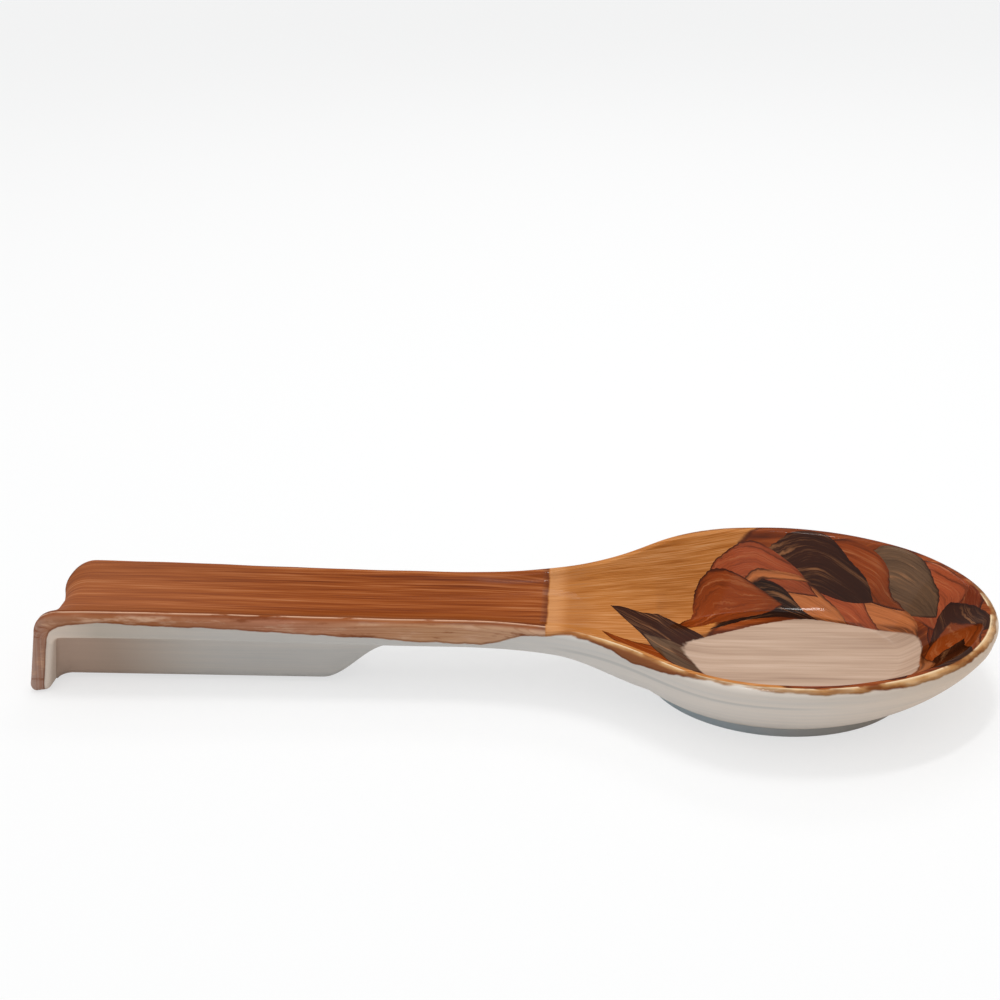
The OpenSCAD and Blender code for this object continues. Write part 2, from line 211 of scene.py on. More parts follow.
def lowered(ring, z):
    q = bent(ring, leg_turn)
    return np.column_stack([q[:, 0] - (q[:, 2] - z) / math.tan(leg_turn),
                            q[:, 1] * (1 + leg_flare / end_half_w), np.full(len(q), z)])


# The rings run from the toe up the leg, round the bend and along to the middle of the bowl.
toe_n, leg_n, bend_n, lead_n = 10, 12, 32, 7
rings, depths, cuts = [], [], {}
leg_ring, leg_depth = whole_section(end_x)
for i in range(toe_n, -1, -1):
    a = math.pi / 2 * i / toe_n
    inset = leg_toe_in * (1 - math.cos(a))
    drawn = leg_ring * [1, 1 - inset / end_half_w, 1]
    drawn[:, 2] = mix(end_h - plate_t / 2, drawn[:, 2], 1 - inset * 2 / leg_t)
    rings.append(lowered(drawn, leg_toe_h * (1 - math.sin(a))))
    depths.append(leg_depth)
toe, arc_end = rings[-1], bent(leg_ring, leg_turn)
for s in np.linspace(0, 1, leg_n + 1)[1:-1]:
    rings.append(mix(toe, arc_end, s))
    depths.append(leg_depth)
for i in range(bend_n, -1, -1):
    a = leg_turn * i / bend_n
    ring, depth = whole_section(turned(0, a)[0])
    rings.append(bent(ring, a))
    depths.append(depth)
arc_start = rings[-1]
for s in np.linspace(0, 1, lead_n + 1)[1:]:
    ring, depth = whole_section(mix(turned(0, 0)[0], bend_x, s))
    ring[:, 0] = mix(arc_start[:, 0], bend_x, s)
    rings.append(ring)
    depths.append(depth)
for name, stop, steps in (("end_leg", bend_x, 0), ("handle_tray", waist_x, 70), ("handle_tray", neck_x, 26),
                          ("neck", seam_x, 32), ("bowl", bowl_x, 40)):
    start = rings[-1][0, 0]
    for s in np.linspace(0, 1, steps + 1)[1:]:
        ring, depth = whole_section(mix(start, stop, s))
        rings.append(ring)
        depths.append(depth)
    cuts[name] = len(rings) - 1

ring_n = len(rings[0])
half_n = ring_n // 2
skin_faces = {name: [] for name in cuts}
first = 0
for name, last in cuts.items():
    for r in range(first, last):
        a, b = r * ring_n, (r + 1) * ring_n
        skin_faces[name] += [(a + i, b + i, b + (i + 1) % ring_n, a + (i + 1) % ring_n)
                             for i in range(ring_n)]
    first = last

# Past its middle the bowl is a fan of half sections about an upright axis.
fan_n, base = 160, cuts["bowl"] * ring_n
fan_points, fan_depths = [], []
for k in range(1, fan_n):
    a = math.pi * (0.5 - k / fan_n)
    p = np.array([bowl_tip_l * math.cos(a), bowl_half_w * math.sin(a)])
    reach = math.hypot(*p)
    d = p / reach
    half, depth = half_section(
        reach, rim_lean, bowl_floor_z, ellipse_reach(d, floor_half_l, floor_half_w), bowl_band_h, foot_h,
        ellipse_reach(d, foot_half_l + foot_margin, foot_half_w + foot_margin), belly_bend_share)
    fan_points.append(np.column_stack([bowl_x + half[:, 0] * d[0], half[:, 0] * d[1], half[:, 1]])[1:-1])
    fan_depths.append(depth[1:-1])


def fan_point(k, i):
    if i in (0, half_n):
        return base + i
    if k in (0, fan_n):
        return base + (i if k == 0 else ring_n - i)
    return len(rings) * ring_n + (k - 1) * (half_n - 1) + i - 1


for k in range(fan_n):
    for i in range(half_n):
        face = (fan_point(k, i), fan_point(k + 1, i), fan_point(k + 1, i + 1), fan_point(k, i + 1))
        skin_faces["bowl"].append(tuple(dict.fromkeys(face)))
skin = np.concatenate(rings + fan_points)
skin_depth = np.concatenate(depths + fan_depths)


def normals_of(points, faces):
    total = np.zeros_like(points)
    for size in (3, 4):
        f = np.array([q for q in faces if len(q) == size])
        if len(f):
            face_normal = np.cross(points[f[:, 2]] - points[f[:, 0]], points[f[:, -1]] - points[f[:, 1]])
            for j in range(size):
                np.add.at(total, f[:, j], face_normal)
    return total / np.maximum(np.linalg.norm(total, axis=1), 1e-12)[:, None]


# Hand-made softness: near the rim the skin lies up to a fifth of a millimetre under the true form.
swell, swell_fade_l, swell_full_l, swell_foot_h = 0.1, 8.0, 5.0, 4.0
waves = (((0.11, 0.17, 0.23), 0.4), ((-0.19, 0.13, 0.09), 2.1), ((0.07, -0.26, 0.31), 4.0),
         ((0.33, 0.05, -0.21), 5.2))
all_faces = sum(skin_faces.values(), [])
skin_normal = normals_of(skin, all_faces)
sway = sum(np.sin(skin @ np.array(k) + phase) for k, phase in waves) / len(waves)
near_rim = smooth((swell_fade_l - np.abs(skin_depth)) / swell_full_l) * smooth(skin[:, 2] / swell_foot_h)
skin = skin - skin_normal * (swell * (1 + sway) * near_rim)[:, None]
skin_normal = normals_of(skin, all_faces)


def solid_piece(name, points, faces, normals, caps=(), attributes=None):
    """A closed mesh whose skin keeps the given normals; caps are flat faces with normals of their own."""
    used = sorted({i for f in list(faces) + [c for c, _ in caps] for i in f})
    index = {v: i for i, v in enumerate(used)}
    mesh = bpy.data.meshes.new(name)
    mesh.from_pydata((points[used] / 1000).tolist(), [],
                     [[index[i] for i in f] for f in faces] + [[index[i] for i in c] for c, _ in caps])
    mesh.polygons.foreach_set("use_smooth", [True] * len(mesh.polygons))
    loop_normals = [tuple(normals[i]) for f in faces for i in f] + [n for c, n in caps for i in c]
    mesh.normals_split_custom_set(loop_normals)
    for key, values in (attributes or {}).items():
        mesh.attributes.new(key, "FLOAT", "POINT").data.foreach_set("value", values[used].astype(np.float32))
    piece = bpy.data.objects.new(name, mesh)
    scene.collection.objects.link(piece)
    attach(piece, "root")
    return piece


def ring_at(cut, turn=1):
    return list(range(cut * ring_n, (cut + 1) * ring_n))[::turn]


body_pieces = {}
start = 0
for name, stop in cuts.items():
    caps = [(ring_at(start), (0, 0, -1) if name == "end_leg" else (-1, 0, 0))]
    if name != "bowl":
        caps.append((ring_at(stop, -1), (1, 0, 0)))
    piece = solid_piece("glazed_" + name, skin, skin_faces[name], skin_normal, caps, {"depth": skin_depth})
    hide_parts(name)
    body_pieces[name] = piece
    start = stop


# The leg and the handle: sienna brushed on lengthwise to look like wood, darker on the near half of
# the trough and in a thin line inside the near crest as painted shade, thin and pinkish down the sides
# with painted sheen in that pink, a painted highlight along the near crest, and ending in a ragged,
# heavier line on the white underside.
# A clear glaze is fired over it. Places are in mm of the object's own space.
class Value:
    """What nodes work out over a surface, so that sums of such values read as sums."""

    def __init__(self, socket):
        self.socket = socket

    def __add__(self, other):
        return maths("ADD", self, other)

    def __sub__(self, other):
        return maths("SUBTRACT", self, other)

    def __rsub__(self, other):
        return maths("SUBTRACT", other, self)

    def __mul__(self, other):
        return maths("MULTIPLY", self, other)

    def __truediv__(self, other):
        return maths("DIVIDE", self, other)


def node(tree, kind, inputs=None, **settings):
    """A new node; each input is a plain value or another node's Value."""
    made = tree.nodes.new(kind)
    for key, value in settings.items():
        setattr(made, key, value)
    for key, value in (inputs or {}).items():
        if isinstance(value, Value):
            tree.links.new(value.socket, made.inputs[key])
        else:
            made.inputs[key].default_value = value
    return made


def out(kind, inputs, output=0, **settings):
    """The output of a new node in the same tree as the values that it reads."""
    tree = next(v.socket.id_data for v in inputs.values() if isinstance(v, Value))
    return Value(node(tree, kind, inputs, **settings).outputs[output])


def maths(operation, *values):
    return out("ShaderNodeMath", dict(enumerate(values)), operation=operation)


def vector(operation, *values):
    return out("ShaderNodeVectorMath", dict(enumerate(values)), operation=operation)


def stretched(place, *factors):
    return vector("MULTIPLY", place, factors)


def joined(x, y, z=0.0):
    return out("ShaderNodeCombineXYZ", {"X": x, "Y": y, "Z": z})


def parts_of(place):
    made = node(place.socket.id_data, "ShaderNodeSeparateXYZ", {0: place})
    return [Value(made.outputs[axis]) for axis in "XYZ"]


def step(value, low, high):
    """Nothing up to low, one from high on, and smooth between."""
    return out("ShaderNodeMapRange", {"Value": value, "From Min": low, "From Max": high}, "Result",
               interpolation_type="SMOOTHSTEP")


def between(value, a, b, c, d):
    """One between b and c, fading to nothing at a and d."""
    return step(value, a, b) * (1.0 - step(value, c, d))


def noise(place, detail=2.0, rough=0.5, scale=1.0):
    return out("ShaderNodeTexNoise", {"Vector": place, "Scale": scale, "Detail": detail, "Roughness": rough},
               "Fac")


def tone(code):
    """A colour written as on a paint chart, in the linear values that the shader works in."""
    parts = [int(code[i:i + 2], 16) / 255 for i in (1, 3, 5)]
    return tuple(c / 12.92 if c <= 0.04045 else ((c + 0.055) / 1.055) ** 2.4 for c in parts) + (1,)


def mixed(kind, share, a, b):
    first, output = {"FLOAT": (2, 0), "VECTOR": (4, 1), "RGBA": (6, 2)}[kind]
    return out("ShaderNodeMix", {0: share, first: a, first + 1: b}, output, data_type=kind)


def blend(share, under, over):
    """A share of one colour laid over another."""
    under, over = (tone(colour) if isinstance(colour, str) else colour for colour in (under, over))
    return mixed("RGBA", share, under, over)


def ramp(value, stops, interpolation="LINEAR"):
    made = node(value.socket.id_data, "ShaderNodeValToRGB", {"Fac": value})
    made.color_ramp.interpolation = interpolation
    for _ in stops[2:]:
        made.color_ramp.elements.new(1.0)
    for element, (at, what) in zip(made.color_ramp.elements, stops):
        element.position = at
        element.color = tone(what) if isinstance(what, str) else (what, what, what, 1)
    return Value(made.outputs["Color"])


ramp_half_l = 136.0


def along_x(x, stops):
    """A colour or number that changes over the length; each stop is a place in mm and what it has."""
    return ramp((x + ramp_half_l) / (2 * ramp_half_l), [((at + ramp_half_l) / (2 * ramp_half_l), what)
                                                       for at, what in stops])


def new_group(name, inputs, outputs, kind="ShaderNodeTree"):
    group = bpy.data.node_groups.new(name, kind)
    for label, what in inputs:
        group.interface.new_socket(name=label, in_out="INPUT", socket_type="NodeSocket" + what)
    for label, what in outputs:
        group.interface.new_socket(name=label, in_out="OUTPUT", socket_type="NodeSocket" + what)
    sources = group.nodes.new("NodeGroupInput").outputs
    targets = group.nodes.new("NodeGroupOutput").inputs
    return group, {label: Value(sources[label]) for label, _ in inputs}, targets


# Brush marks: Streak is the broad light and dark of a loaded brush, Hair its fine bristle lines.
brush_marks, given, asked = new_group("brush_marks", [("Place", "Vector"), ("Seed", "Float")],
                                      [("Streak", "Float"), ("Hair", "Float")])
held = vector("ADD", given["Place"], joined(0.0, 0.0, given["Seed"]))
for label, fineness, detail in (("Streak", (0.013, 0.5, 0.5), 3.0), ("Hair", (0.035, 2.2, 2.2), 2.0)):
    brush_marks.links.new(noise(stretched(held, *fineness), detail, 0.6).socket, asked[label])


def marks(place, seed):
    made = node(place.socket.id_data, "ShaderNodeGroup", {"Place": place, "Seed": seed},
                node_tree=brush_marks)
    return Value(made.outputs["Streak"]), Value(made.outputs["Hair"])


def glaze(name, paint, gloss_roughness, gloss):
    """Paint under a clear glaze: the paint gives a colour, a height in mm and a roughness of its own."""
    material = bpy.data.materials.new(name)
    material.use_nodes = True
    tree = material.node_tree
    shader = tree.nodes["Principled BSDF"]
    place = out("ShaderNodeVectorMath", {0: Value(tree.nodes.new("ShaderNodeTexCoord").outputs["Object"]),
                                         "Scale": 1000.0}, operation="SCALE")
    colour, height, rough = paint(place)
    bumped = out("ShaderNodeBump", {"Height": height, "Strength": 1.0, "Distance": 0.001})
    for label, value in (("Base Color", colour), ("Normal", bumped), ("Roughness", rough)):
        tree.links.new(value.socket, shader.inputs[label])
    shader.inputs["Specular IOR Level"].default_value = 0.0
    shader.inputs["Coat Weight"].default_value = gloss
    shader.inputs["Coat Roughness"].default_value = gloss_roughness
    shader.inputs["Coat IOR"].default_value = 1.5
    return material


def white_glaze(x, depth):
    """Brushed white: cool thin streaks along the piece, warmer at both ends, painted shade under the handle,
    one faint painted-shade line along the band's crease.
    """
    streak, hair = marks(joined(x, depth), 40.0)
    colour = ramp(mixed("FLOAT", 0.25, streak, hair), [
        (0.30, "#b4b8b9"), (0.42, "#cdcac6"), (0.55, "#d8d1ca"), (0.72, "#e2d9cf")])
    # Along the length: warmer at both ends; the darker tones from about -112 to -78 mm are painted shade
    # under the handle.
    colour = blend(0.6, colour, along_x(x, [
        (-132, "#e8cfbb"), (-122, "#d2b9a4"), (-112, "#ab9984"), (-78, "#b7b1ab"), (0, "#c9c5c0"),
        (22, "#d3cdc7"), (80, "#dacabb"), (118, "#dfc0a2"), (135, "#e4bf99")]))
    # Painted shade: a faint dark line along the crease where the side band turns into the belly.
    crease_shade = between(depth, 4.6, 5.1, 5.4, 6.1) * between(x, 8.0, 24.0, 66.0, 90.0)
    return blend(crease_shade * 0.35, colour, "#93999b"), hair


# How far below the rim the paint may end, as numbers that fit a ramp.
reach_shift, reach_span = 1.0, 10.0


def over_white(place, x, depth, colour, relief, reaches):
    """The paint ends in a ragged, heavier line below the rim, with the white glaze under it. Each
    reach is a place along the length and how many mm below the rim the paint ends there."""
    limit = along_x(x, [(at, (reach + reach_shift) / reach_span) for at, reach in reaches])
    limit = limit * reach_span - reach_shift
    drip = noise(stretched(place, 0.16, 0.3, 0.06), 3.0, 0.45)
    past = depth - (limit + (drip - 0.5) * 1.6)
    outside = step(past, -0.15, 0.25)
    colour = blend(between(past, -0.8, -0.3, -0.1, 0.1) * 0.45, colour, "#5e2c12")
    white, white_hair = white_glaze(x, depth)
    return blend(outside, colour, white), mixed("FLOAT", outside, relief, white_hair * 0.04 - 0.12)


def coordinates(place):
    """Length, width, mm below the rim outside, and the unrolled width that the brush follows."""
    below = node(place.socket.id_data, "ShaderNodeAttribute", attribute_name="depth",
                 attribute_type="GEOMETRY")
    depth = Value(below.outputs["Fac"])
    x, y, _ = parts_of(place)
    return x, y, depth, joined(x, y + maths("MAXIMUM", depth, 0.0))


# The sienna runs a little over the seam between the handle and the neck.
sienna_end_x = neck_x + 2.0


def sienna_brush(place, x, y, depth, lane):
    streak, hair = marks(lane, 0.0)
    colour = ramp(mixed("FLOAT", 0.42, streak, hair), [
        (0.34, "#642c12"), (0.43, "#803c17"), (0.51, "#964d20"), (0.59, "#ab6438"), (0.69, "#c2865a")])
    # Painted shade: the near half of the trough is darker.
    colour = blend((1.0 - step(y, -10.0, -3.0)) * 0.3, colour, "#703514")
    colour = blend((1.0 - step(x, -125.0, -40.0)) * 0.3, colour, "#b07250")
    colour = blend(step(x, sienna_end_x - 2.7, sienna_end_x - 0.2) * 0.55, colour, "#54240a")

    patch = noise(stretched(place, 0.09, 0.3, 0.35), 4.0, 0.6)
    # Down the sides: pinkish sienna with lighter and darker patches; the light pink is partly a painted
    # sheen.
    side = along_x(x, [(-134, "#b2968a"), (-126, "#a9785c"), (-105, "#a2663f"), (-60, "#b87d61"),
                       (-20, "#c4946f"), (8, "#c99f80")])
    side = blend(step(patch, 0.5, 0.7), side, "#d3a88a")
    side = blend((1.0 - step(patch, 0.3, 0.44)) * 0.8, side, "#7d4224")
    side = blend(step(hair, 0.48, 0.64) * 0.4, side, "#8f5332")
    colour = blend(step(depth, -0.1, 0.9) * 0.9, colour, side)

    # Painted shade: a thin dark line just inside the near crest, where the trough falls out of sight behind
    # it.
    near = 1.0 - step(y, -4.0, 4.0)
    colour = blend(between(depth, -2.0, -1.1, -0.8, -0.5) * near * 0.5, colour, "#5c280c")
    corner = between(depth, -3.0, -1.2, -0.3, 0.3) * (1.0 - step(x, -131.0, -125.0))
    colour = blend(corner * 0.65, colour, "#4a2e24")
    # Painted highlight: a broken light line along the near crest.
    crest = between(depth, -0.6, -0.4, -0.15, 0.1) * step(patch, 0.34, 0.5)
    return blend(crest * near * 0.85, colour, "#e0b597"), hair


def handle_paint(place):
    x, y, depth, lane = coordinates(place)
    colour, hair = sienna_brush(place, x, y, depth, lane)
    colour, height = over_white(place, x, depth, colour, hair * 0.12, [
        (-135, 6.4), (-128, 5.8), (-123, 3.8), (-112, 2.4), (-90, 3.2), (-60, 4.3), (-34, 5.4),
        (-14, 6.4), (-5, 6.6), (0, 5.0), (6, 2.6), (12.5, 1.4), (18, 0.9)])
    return colour, height, hair * 0.2 + 0.45


handle_glaze = glaze("sienna_glaze", handle_paint, 0.26, 0.08)
for name in ("end_leg", "handle_tray"):
    body_pieces[name].data.materials.append(handle_glaze)


# The neck and the bowl: ochre brushed on lengthwise, with a pale stripe at its start, and pointed
# leaves laid wet over a rust ground round the bowl's wall, from the tip back towards the neck. The
# bowl's floor is cream, and the near rim is tan, worn thin over its crest, with a painted highlight
# along the crest.
leaf_parts = ("Turn", "Length", "Width", "Bend", "Tone")
leaf_tones = ["#a06a3c", "#8e3c10", "#38180a", "#a34b28", "#6a4e38", "#6c2504", "#b86a3a", "#241008"]

# The strokes in the order in which they are laid: the middle's x and y in mm, then the parts that
# are named above. Only the last four reach the neck.
wall_leaves = [
    (126, 4, 96, 32, 13, 20, 5), (125, -9, 250, 32, 12, -20, 2), (119, 18, 134, 40, 14, 44, 3),
    (118, -20, 228, 40, 13, -30, 1), (110, 27, 150, 44, 15, 50, 4), (108, -29, 208, 44, 14, -34, 2),
    (106, 16, 142, 36, 11, 30, 6), (106, -18, 218, 40, 13, -30, 6), (98, 33, 162, 42, 12, 50, 1),
    (95, -35, 192, 46, 14, -34, 5), (96, 24, 150, 36, 10, 40, 3), (86, 36, 176, 46, 15, 58, 2),
    (81, -37, 176, 46, 14, -36, 3), (86, 25, 166, 36, 10, 44, 6), (84, -25, 188, 46, 14, -32, 1),
    (71, 34, 192, 40, 12, 54, 3), (66, -31, 160, 44, 13, -34, 4), (74, 26, 184, 36, 11, 46, 7),
    (77, 33, 190, 26, 2.6, 24, 6), (62, 26, 206, 36, 11, 44, 1), (55, -22, 150, 36, 12, -28, 3),
    (47, 4, 148, 30, 18, 20, 2), (42, -11, 172, 32, 13, -16, 1), (49, -5, 158, 24, 11, -10, 4),
]
neck_leaf_n = 4

# One leaf stroke laid over what is under it: a pointed oval about its own middle line, bent to one
# side. Mark carries the place within the leaf and its tone; Edge is how far a point lies inside it.
leaf_stroke, given, asked = new_group(
    "leaf_stroke",
    [("Place", "Vector"), ("Centre", "Vector"), ("Turn", "Float"), ("Length", "Float"), ("Width", "Float"),
     ("Bend", "Float"), ("Tone", "Float"), ("Mark", "Vector"), ("Edge", "Float")],
    [("Mark", "Vector"), ("Edge", "Float")])
place_x, place_y, _ = parts_of(given["Place"])
centre_x, centre_y, _ = parts_of(given["Centre"])
from_x, from_y = place_x - centre_x, place_y - centre_y
turn_cos, turn_sin = (maths(part, given["Turn"] * (math.pi / 180)) for part in ("COSINE", "SINE"))
leaf_x = from_x * turn_cos + from_y * turn_sin
leaf_y = from_y * turn_cos - from_x * turn_sin
along = leaf_x / given["Length"]
side = leaf_y - given["Bend"] * (along * along)
full = 1.0 - maths("POWER", maths("ABSOLUTE", along * 2.0), 2.0)
reach = maths("MAXIMUM", full, 0.0) * ((1.0 - along * 0.8) * 0.5)
inside = (reach - maths("ABSOLUTE", side / given["Width"])) * given["Width"]
hit = maths("GREATER_THAN", inside, 0.0)
laid_mark = mixed("VECTOR", hit, given["Mark"], joined(leaf_x, side, given["Tone"]))
laid_edge = mixed("FLOAT", hit, given["Edge"], inside)
leaf_stroke.links.new(laid_mark.socket, asked["Mark"])
leaf_stroke.links.new(laid_edge.socket, asked["Edge"])


def laid(flat, leaves):
    """Leaf strokes laid one over the other, the last one on top."""
    mark, edge = (0.0, 0.0, 0.0), 0.0
    for px, py, *sizes in leaves:
        made = node(flat.socket.id_data, "ShaderNodeGroup", {
            "Place": flat, "Centre": (px, py, 0), "Mark": mark, "Edge": edge, **dict(zip(leaf_parts, sizes))},
            node_tree=leaf_stroke)
        mark, edge = Value(made.outputs["Mark"]), Value(made.outputs["Edge"])
    return mark, edge


def ochre_ground(place, x, y, depth, lane, joins_handle):
    """Ochre in short straight lanes that fan out as the neck widens, and the fine lines of its brush."""
    fan = maths("MAXIMUM", x - (sienna_end_x + 1.5), 0.0) * 0.008 + 1.0
    across = (y + parts_of(place)[2] * 1.3) / fan
    streak, hair = marks(stretched(joined(x, across), 2.2, 1.2, 1.0), 11.0)
    ground = ramp(mixed("FLOAT", 0.62, streak, hair), [
        (0.32, "#96541f"), (0.42, "#b26b2d"), (0.51, "#c27c3e"), (0.61, "#cf8c52"), (0.73, "#dda776")])
    seam = x + (noise(stretched(place, 0.1, 0.22, 0.22)) - 0.5) * 1.2
    stripe = between(seam, sienna_end_x - 0.2, sienna_end_x + 0.3, sienna_end_x + 1.5, sienna_end_x + 6.5)
    ground = blend(stripe * 0.4, ground, "#d99f6d")
    smudge = between(seam, sienna_end_x + 3.0, sienna_end_x + 6.5, sienna_end_x + 8.0, sienna_end_x + 16.5)
    ground = blend(smudge * step(hair, 0.4, 0.6) * 0.4, ground, "#8c4f22")
    ground = blend(step(x, 22.0, 60.0) * 0.1, ground, "#a85c1e")
    if joins_handle:
        sienna = sienna_brush(place, x, y, depth, lane)[0]
        ground = blend(1.0 - step(seam, sienna_end_x - 0.5, sienna_end_x + 0.1), ground, sienna)
    return ground, hair


def oval_reach(place, centre, half_l, half):
    """How far out a place lies, with one on the oval itself."""
    spread = stretched(vector("SUBTRACT", place, (*centre, 0.0)), 1 / half_l, 1 / half, 0.0)
    return out("ShaderNodeVectorMath", {0: spread}, "Value", operation="LENGTH")


def rust_wall(ground, flat, lane):
    """The rust ground of the bowl's wall, an oval with a dark edge where it meets the ochre."""
    rust = ramp(marks(stretched(lane, 2.4, 0.9, 0.9), 31.0)[0], [
        (0.3, "#52200a"), (0.45, "#74300c"), (0.6, "#8f4217"), (0.75, "#a85c30")])
    middle, half_l, half = bowl_x + 35.0, 56.0, 62.0
    oval = oval_reach(flat, (middle, 0.0), half_l, half)
    ground = blend(1.0 - step(oval, 0.985, 1.005), ground, rust)
    return blend(between(oval, 0.97, 0.985, 0.99, 1.01) * 0.7, ground, "#4a1c08")


def leaf_paint(mark, edge, wander):
    """Each leaf has its own tone, lighter and darker streaks, a dark root and most of a dark outline."""
    leaf_x, leaf_y, tint = parts_of(mark)
    streak, hair = marks(stretched(mark, 2.6, 1.1, 7.0), 5.0)
    starts = [0.0] + [(i - 0.5) / len(leaf_tones) for i in range(1, len(leaf_tones))]
    body = ramp(tint / len(leaf_tones), list(zip(starts, leaf_tones)), "CONSTANT")
    dark = blend(0.65, body, "#1e0c04")
    load = mixed("FLOAT", 0.35, streak, hair)
    stroke = blend(step(load, 0.50, 0.72), body, blend(0.45, body, "#d8935f"))
    stroke = blend((1.0 - step(load, 0.34, 0.5)) * 0.8, stroke, dark)
    stroke = blend(step(leaf_y, 0.0, 4.5) * 0.4, stroke, dark)
    stroke = blend((1.0 - step(leaf_x, -22.0, -6.0)) * 0.55, stroke, dark)
    outline = (1.0 - step(edge, 0.15, 0.7)) * step(wander, 0.3, 0.5)
    return blend(outline * 0.85, stroke, "#35140a"), maths("GREATER_THAN", tint, 0.5), streak, hair


def rim_wear_and_highlight(colour, place, x, y, depth):
    """On the near side and round the tip: tan worn thin over the rim's crest, brown below it, and a broken
    painted highlight along the crest.
    """
    wear_and_glint_breaks = noise(stretched(place, 0.12, 0.12, 0.5), 3.0)
    turn_x = bowl_x + 41.0
    near = y - maths("MAXIMUM", x - turn_x, 0.0) * 0.7
    near = (1.0 - step(near, -6.0, 6.0)) * step(x, 18.0, 30.0)
    tan = ramp(wear_and_glint_breaks, [(0.34, "#8c4f22"), (0.45, "#b07a47"), (0.55, "#c79663"), (0.68, "#d8b084")])
    colour = blend(step(depth + wear_and_glint_breaks * 1.2, 0.0, 0.5) * near, colour, tan)
    brown = step(depth, 0.0, 0.7) * (1.0 - step(x, 60.0, 92.0))
    colour = blend(brown * near, colour, "#8a5230")
    # Painted highlight along the rim's crest.
    painted_rim_highlight = between(depth, -0.5, -0.3, -0.1, 0.1) * step(wear_and_glint_breaks, 0.42, 0.5)
    return blend(painted_rim_highlight * near * 0.85, colour, "#f0d6ae")


def leafy(leaves, joins_handle):
    """The paint of the neck or the bowl, with the leaves that reach it."""
    def paint(place):
        x, y, depth, lane = coordinates(place)
        colour, hair = ochre_ground(place, x, y, depth, lane, joins_handle)

        # All painted outlines wander a little, as a brush does.
        wander = noise(place, 0.0, scale=0.07)
        fray = noise(place, 1.0, scale=0.6)
        sway = (wander - 0.5) * 8.0 + (fray - 0.5) * 0.8
        ragged = vector("ADD", place, joined(sway, sway * -0.8))
        flat = stretched(ragged, 1, 1, 0)
        colour = rust_wall(colour, flat, lane)

        # Far and near leaves are laid as two layers, the near ones on top.
        far_mark, far_edge = laid(flat, [row for row in leaves if row[1] > 0])
        near_mark, near_edge = laid(flat, [row for row in leaves if row[1] <= 0])
        on_near = maths("GREATER_THAN", parts_of(near_mark)[2], 0.5)
        edge = mixed("FLOAT", on_near, far_edge, near_edge)
        stroke, on_leaf, leaf_streak, leaf_hair = leaf_paint(
            mixed("VECTOR", on_near, far_mark, near_mark), edge, wander)
        colour = blend(on_leaf, colour, stroke)

        # The cream floor is an oval with a dark brushed edge that comes and goes.
        cream_streak, cream_hair = marks(stretched(lane, 1.3, 0.7, 1.0), 23.0)
        cream = ramp(mixed("FLOAT", 0.25, cream_streak, cream_hair), [
            (0.30, "#9c806d"), (0.42, "#b1947f"), (0.54, "#bfa28c"), (0.7, "#cdb19c")])
        oval = oval_reach(ragged, (bowl_x + 7.5, -2.5), floor_half_l, floor_half_w - 2.5)
        low = 1.0 - step(parts_of(place)[2], bowl_floor_z + 5.5, bowl_floor_z + 7.0)
        ring = (1.0 - step(oval, 1.04, 1.10)) * low * step(leaf_streak, 0.4, 0.55)
        on_floor = (1.0 - step(oval, 0.985, 1.01)) * low
        colour = blend(ring * 0.75, colour, "#3c1809")
        colour = rim_wear_and_highlight(blend(on_floor, colour, cream), place, x, y, depth)

        # Leaves stand a little proud of the ground, most at their edges.
        raised = on_leaf * (1.0 - on_floor)
        ridge = (1.0 - step(edge, 0.0, 1.2)) * raised
        relief = mixed("FLOAT", raised, hair, leaf_hair) * (raised * 0.14 + 0.12) + ridge * 0.35
        colour, height = over_white(place, x, depth, colour, relief, [
            (10, 1.9), (18, 0.7), (24, 0.7), (30, 1.6), (35, 3.0), (40, 2.4), (46, 1.1), (54, 0.2), (62, 0.0),
            (72, 0.3), (90, 0.6), (96, 0.5), (103, 1.1), (112, 0.8), (122, 1.0), (131, 0.5)])
        return colour, height, hair * 0.2 + 0.45
    return paint


neck_glaze = glaze("neck_glaze", leafy(wall_leaves[-neck_leaf_n:], True), 0.08, 0.16)
leaf_glaze = glaze("leaf_glaze", leafy(wall_leaves, False), 0.08, 0.16)
body_pieces["neck"].data.materials.append(neck_glaze)
body_pieces["bowl"].data.materials.append(leaf_glaze)


# The keel under the handle, luted on and smoothed into it: coved sides, a rounded lower edge, a nose
# that rises to the handle and a soft fillet where it runs into the leg. It has only white glaze.
keel_lift, keel_half_w, keel_edge_r, keel_inset = 1.2, 7.0, 2.4, 0.8
keel_nose_l, keel_rise_l, keel_fillet_r = 13.0, 24.0, 2.6
keel_cove_share, keel_ceiling_share, keel_end_share, keel_drop_share = 0.3, 0.06, 0.985, 0.15
keel_edge_n, keel_side_n, keel_bend_n, keel_run_n, keel_rise_n = 9, 21, 40, 60, 41
nose_x = waist_x - keel_nose_l
keel_full_x = nose_x - keel_rise_l


def keel_ring(x, top, top_w, fade, slant=0, flare=0):
    bottom = mix(keel_lift, top, fade) - flare * keel_drop_share
    edge_r = keel_edge_r * (1 - fade)
    low_w = mix(keel_half_w, top_w - edge_r * 2, fade * fade) + flare
    side = (low_w + edge_r, bottom + edge_r)
    cove = (mix(side[0], top_w, keel_cove_share), mix(top, side[1], keel_ceiling_share))
    a = np.pi / 2 * np.linspace(0, 1, keel_edge_n)[1:, None]
    half = np.concatenate([quadratic((top_w, top), cove, side, np.linspace(0, 1, keel_side_n)),
                           np.hstack([low_w + edge_r * np.cos(a), bottom + edge_r * (1 - np.sin(a))])])
    ring = np.concatenate([half, (half * [-1, 1])[::-1]])
    return np.column_stack([x - (top - ring[:, 1]) * slant, ring])


def keel_top_w(x):
    return half_w(x) - plate_flat_in - keel_inset


def fillet_out(d):
    return keel_fillet_r * (1 - math.sqrt(1 - (1 - min(1.0, d / keel_fillet_r)) ** 2))


